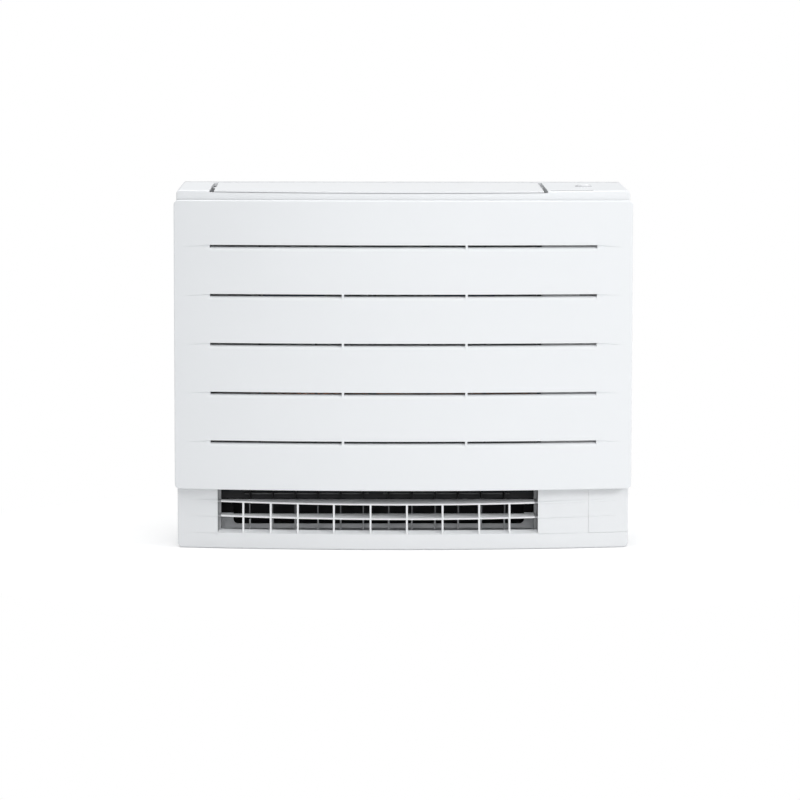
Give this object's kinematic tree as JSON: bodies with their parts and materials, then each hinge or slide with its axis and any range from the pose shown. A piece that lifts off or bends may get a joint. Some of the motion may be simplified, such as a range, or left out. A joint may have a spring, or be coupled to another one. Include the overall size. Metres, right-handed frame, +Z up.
{
  "type": "floor standing air conditioner",
  "caption": "Low floor console that draws room air through a bowed slotted front panel and blows it out of a flap on top and a barred outlet at the foot.",
  "frame": {"origin": "middle of the bottom of the whole object's box, on the floor", "axes": "+X to the viewer's right along the front, -Y out of the front towards the viewer, +Z up"},
  "size_m": [0.75, 0.238, 0.6],
  "materials": {
    "panel_white": "satin moulded plastic",
    "casing_white": "satin moulded plastic",
    "flap_white": "satin moulded plastic",
    "button_white": "smooth moulded plastic",
    "grille_grey": "light grey moulded plastic",
    "duct_grey": "grey moulded plastic",
    "damper_grey": "grey moulded plastic",
    "vane_grey": "dark grey moulded plastic",
    "link_plastic": "grey moulded plastic",
    "chassis_steel": "coated steel sheet",
    "bracket_steel": "galvanised steel sheet",
    "box_steel": "galvanised steel sheet",
    "screw_steel": "plated steel",
    "spring_steel": "spring wire",
    "shaft_steel": "ground steel",
    "motor_resin": "moulded resin",
    "motor_plastic": "moulded plastic",
    "fan_plastic": "moulded plastic",
    "fin_aluminium": "bare fins",
    "copper": "drawn copper",
    "nut_brass": "machined brass",
    "pan_plastic": "foam-backed plastic",
    "filter_mesh": "frame with fine mesh",
    "cartridge_plastic": "cartridge",
    "board_green": "circuit board",
    "terminal_plastic": "terminal block",
    "window_smoke": "smooth pale window",
    "lamp_grey": "small lens"
  },
  "bodies": {
    "cabinet": {"front_casing": "casing_white", "rear_chassis": "chassis_steel", "service_cover": "casing_white", "outlet_grille": "grille_grey", "casing_screws": "screw_steel", "flap_motor": "motor_plastic", "button_spring": "spring_steel", "display_board": "board_green", "control_window": "window_smoke", "status_lamp": "lamp_grey", "fan_scroll": "duct_grey", "damper_motor": "motor_plastic", "fan_motor": "motor_resin", "motor_bracket": "bracket_steel", "bell_mouth": "duct_grey", "fin_pack": "fin_aluminium", "coil_end_plates": "bracket_steel", "coil_tubes": "copper", "liquid_pipe": "copper", "gas_pipe": "copper", "flare_nuts": "nut_brass", "drain_pan": "pan_plastic", "drain_spout": "pan_plastic", "left_filter": "filter_mesh", "right_filter": "filter_mesh", "filter_cartridges": "cartridge_plastic", "electrical_box": "box_steel", "electrical_lid": "box_steel", "control_board": "board_green", "terminal_block": "terminal_plastic"},
    "panel": {"front_panel": "panel_white"},
    "flap": {"upper_flap": "flap_white"},
    "fan": {"turbo_fan": "fan_plastic", "motor_shaft": "shaft_steel", "fan_nut": "nut_brass"},
    "button": {"power_button": "button_white"},
    "damper": {"lower_damper": "damper_grey"},
    "left_link": {"left_link_bar": "link_plastic"},
    "right_link": {"right_link_bar": "link_plastic"},
    "upper_link": {"upper_link_bar": "link_plastic"},
    "left_vane_1_body": {"left_vane_1": "vane_grey"},
    "left_vane_2_body": {"left_vane_2": "vane_grey"},
    "left_vane_3_body": {"left_vane_3": "vane_grey"},
    "left_vane_4_body": {"left_vane_4": "vane_grey"},
    "left_vane_5_body": {"left_vane_5": "vane_grey"},
    "left_vane_6_body": {"left_vane_6": "vane_grey"},
    "right_vane_1_body": {"right_vane_1": "vane_grey"},
    "right_vane_2_body": {"right_vane_2": "vane_grey"},
    "right_vane_3_body": {"right_vane_3": "vane_grey"},
    "right_vane_4_body": {"right_vane_4": "vane_grey"},
    "right_vane_5_body": {"right_vane_5": "vane_grey"},
    "right_vane_6_body": {"right_vane_6": "vane_grey"},
    "upper_vane_1_body": {"upper_vane_1": "vane_grey"},
    "upper_vane_2_body": {"upper_vane_2": "vane_grey"},
    "upper_vane_3_body": {"upper_vane_3": "vane_grey"},
    "upper_vane_4_body": {"upper_vane_4": "vane_grey"},
    "upper_vane_5_body": {"upper_vane_5": "vane_grey"},
    "upper_vane_6_body": {"upper_vane_6": "vane_grey"}
  },
  "joints": [
    {"name": "panel_hinge", "type": "hinge", "parent": "cabinet", "child": "panel", "pos_m": [0, -0.08, 0.107], "axis": [1, 0, 0], "range_deg": [0, 30]},
    {"name": "flap_hinge", "type": "hinge", "parent": "cabinet", "child": "flap", "pos_m": [-0.04, 0.076, 0.5885], "axis": [-1, 0, 0], "range_deg": [0, 60]},
    {"name": "fan_spin", "type": "hinge", "parent": "cabinet", "child": "fan", "pos_m": [-0.042, 0, 0.31], "axis": [0, -1, 0], "continuous": true},
    {"name": "button_press", "type": "slide", "parent": "cabinet", "child": "button", "axis": [0, 0, -1], "range_m": [0, 0.0012], "stiffness_N_per_m": 300, "springref_m": -0.002, "deforming": ["button_spring"]},
    {"name": "damper_turn", "type": "hinge", "parent": "cabinet", "child": "damper", "pos_m": [-0.042, 0.048, 0.1], "axis": [-1, 0, 0], "range_deg": [0, 45]},
    {"name": "left_vane_1_turn", "type": "hinge", "parent": "cabinet", "child": "left_vane_1_body", "pos_m": [-0.2536, -0.03, 0.062], "axis": [0, 0, 1], "range_deg": [-30, 30]},
    {"name": "left_vane_2_turn", "type": "hinge", "parent": "cabinet", "child": "left_vane_2_body", "pos_m": [-0.216, -0.03, 0.062], "axis": [0, 0, 1], "range_deg": [-30, 30]},
    {"name": "left_vane_3_turn", "type": "hinge", "parent": "cabinet", "child": "left_vane_3_body", "pos_m": [-0.1784, -0.03, 0.062], "axis": [0, 0, 1], "range_deg": [-30, 30]},
    {"name": "left_vane_4_turn", "type": "hinge", "parent": "cabinet", "child": "left_vane_4_body", "pos_m": [-0.1408, -0.03, 0.062], "axis": [0, 0, 1], "range_deg": [-30, 30]},
    {"name": "left_vane_5_turn", "type": "hinge", "parent": "cabinet", "child": "left_vane_5_body", "pos_m": [-0.1032, -0.03, 0.062], "axis": [0, 0, 1], "range_deg": [-30, 30]},
    {"name": "left_vane_6_turn", "type": "hinge", "parent": "cabinet", "child": "left_vane_6_body", "pos_m": [-0.0656, -0.03, 0.062], "axis": [0, 0, 1], "range_deg": [-30, 30]},
    {"name": "left_link_slide", "type": "slide", "parent": "cabinet", "child": "left_link", "axis": [1, 0, 0], "range_m": [-0.0066, 0.0066]},
    {"name": "right_vane_1_turn", "type": "hinge", "parent": "cabinet", "child": "right_vane_1_body", "pos_m": [-0.0234, -0.03, 0.062], "axis": [0, 0, 1], "range_deg": [-30, 30]},
    {"name": "right_vane_2_turn", "type": "hinge", "parent": "cabinet", "child": "right_vane_2_body", "pos_m": [0.015, -0.03, 0.062], "axis": [0, 0, 1], "range_deg": [-30, 30]},
    {"name": "right_vane_3_turn", "type": "hinge", "parent": "cabinet", "child": "right_vane_3_body", "pos_m": [0.0534, -0.03, 0.062], "axis": [0, 0, 1], "range_deg": [-30, 30]},
    {"name": "right_vane_4_turn", "type": "hinge", "parent": "cabinet", "child": "right_vane_4_body", "pos_m": [0.0918, -0.03, 0.062], "axis": [0, 0, 1], "range_deg": [-30, 30]},
    {"name": "right_vane_5_turn", "type": "hinge", "parent": "cabinet", "child": "right_vane_5_body", "pos_m": [0.1302, -0.03, 0.062], "axis": [0, 0, 1], "range_deg": [-30, 30]},
    {"name": "right_vane_6_turn", "type": "hinge", "parent": "cabinet", "child": "right_vane_6_body", "pos_m": [0.1686, -0.03, 0.062], "axis": [0, 0, 1], "range_deg": [-30, 30]},
    {"name": "right_link_slide", "type": "slide", "parent": "cabinet", "child": "right_link", "axis": [1, 0, 0], "range_m": [-0.0066, 0.0066]},
    {"name": "upper_vane_1_turn", "type": "hinge", "parent": "cabinet", "child": "upper_vane_1_body", "pos_m": [-0.258, 0, 0.546], "axis": [0, 1, 0], "range_deg": [-25, 25]},
    {"name": "upper_vane_2_turn", "type": "hinge", "parent": "cabinet", "child": "upper_vane_2_body", "pos_m": [-0.171, 0, 0.546], "axis": [0, 1, 0], "range_deg": [-25, 25]},
    {"name": "upper_vane_3_turn", "type": "hinge", "parent": "cabinet", "child": "upper_vane_3_body", "pos_m": [-0.084, 0, 0.546], "axis": [0, 1, 0], "range_deg": [-25, 25]},
    {"name": "upper_vane_4_turn", "type": "hinge", "parent": "cabinet", "child": "upper_vane_4_body", "pos_m": [0.003, 0, 0.546], "axis": [0, 1, 0], "range_deg": [-25, 25]},
    {"name": "upper_vane_5_turn", "type": "hinge", "parent": "cabinet", "child": "upper_vane_5_body", "pos_m": [0.09, 0, 0.546], "axis": [0, 1, 0], "range_deg": [-25, 25]},
    {"name": "upper_vane_6_turn", "type": "hinge", "parent": "cabinet", "child": "upper_vane_6_body", "pos_m": [0.177, 0, 0.546], "axis": [0, 1, 0], "range_deg": [-25, 25]},
    {"name": "upper_link_slide", "type": "slide", "parent": "cabinet", "child": "upper_link", "axis": [1, 0, 0], "range_m": [-0.0056, 0.0056]}
  ],
  "couplings": [
    {"joint": "left_vane_2_turn", "follows": "left_vane_1_turn", "ratio": 1},
    {"joint": "left_vane_3_turn", "follows": "left_vane_1_turn", "ratio": 1},
    {"joint": "left_vane_4_turn", "follows": "left_vane_1_turn", "ratio": 1},
    {"joint": "left_vane_5_turn", "follows": "left_vane_1_turn", "ratio": 1},
    {"joint": "left_vane_6_turn", "follows": "left_vane_1_turn", "ratio": 1},
    {"joint": "left_link_slide", "follows": "left_vane_1_turn", "m_per_rad": -0.012},
    {"joint": "right_vane_2_turn", "follows": "right_vane_1_turn", "ratio": 1},
    {"joint": "right_vane_3_turn", "follows": "right_vane_1_turn", "ratio": 1},
    {"joint": "right_vane_4_turn", "follows": "right_vane_1_turn", "ratio": 1},
    {"joint": "right_vane_5_turn", "follows": "right_vane_1_turn", "ratio": 1},
    {"joint": "right_vane_6_turn", "follows": "right_vane_1_turn", "ratio": 1},
    {"joint": "right_link_slide", "follows": "right_vane_1_turn", "m_per_rad": -0.012},
    {"joint": "upper_vane_2_turn", "follows": "upper_vane_1_turn", "ratio": 1},
    {"joint": "upper_vane_3_turn", "follows": "upper_vane_1_turn", "ratio": 1},
    {"joint": "upper_vane_4_turn", "follows": "upper_vane_1_turn", "ratio": 1},
    {"joint": "upper_vane_5_turn", "follows": "upper_vane_1_turn", "ratio": 1},
    {"joint": "upper_vane_6_turn", "follows": "upper_vane_1_turn", "ratio": 1},
    {"joint": "upper_link_slide", "follows": "upper_vane_1_turn", "m_per_rad": -0.012}
  ]
}
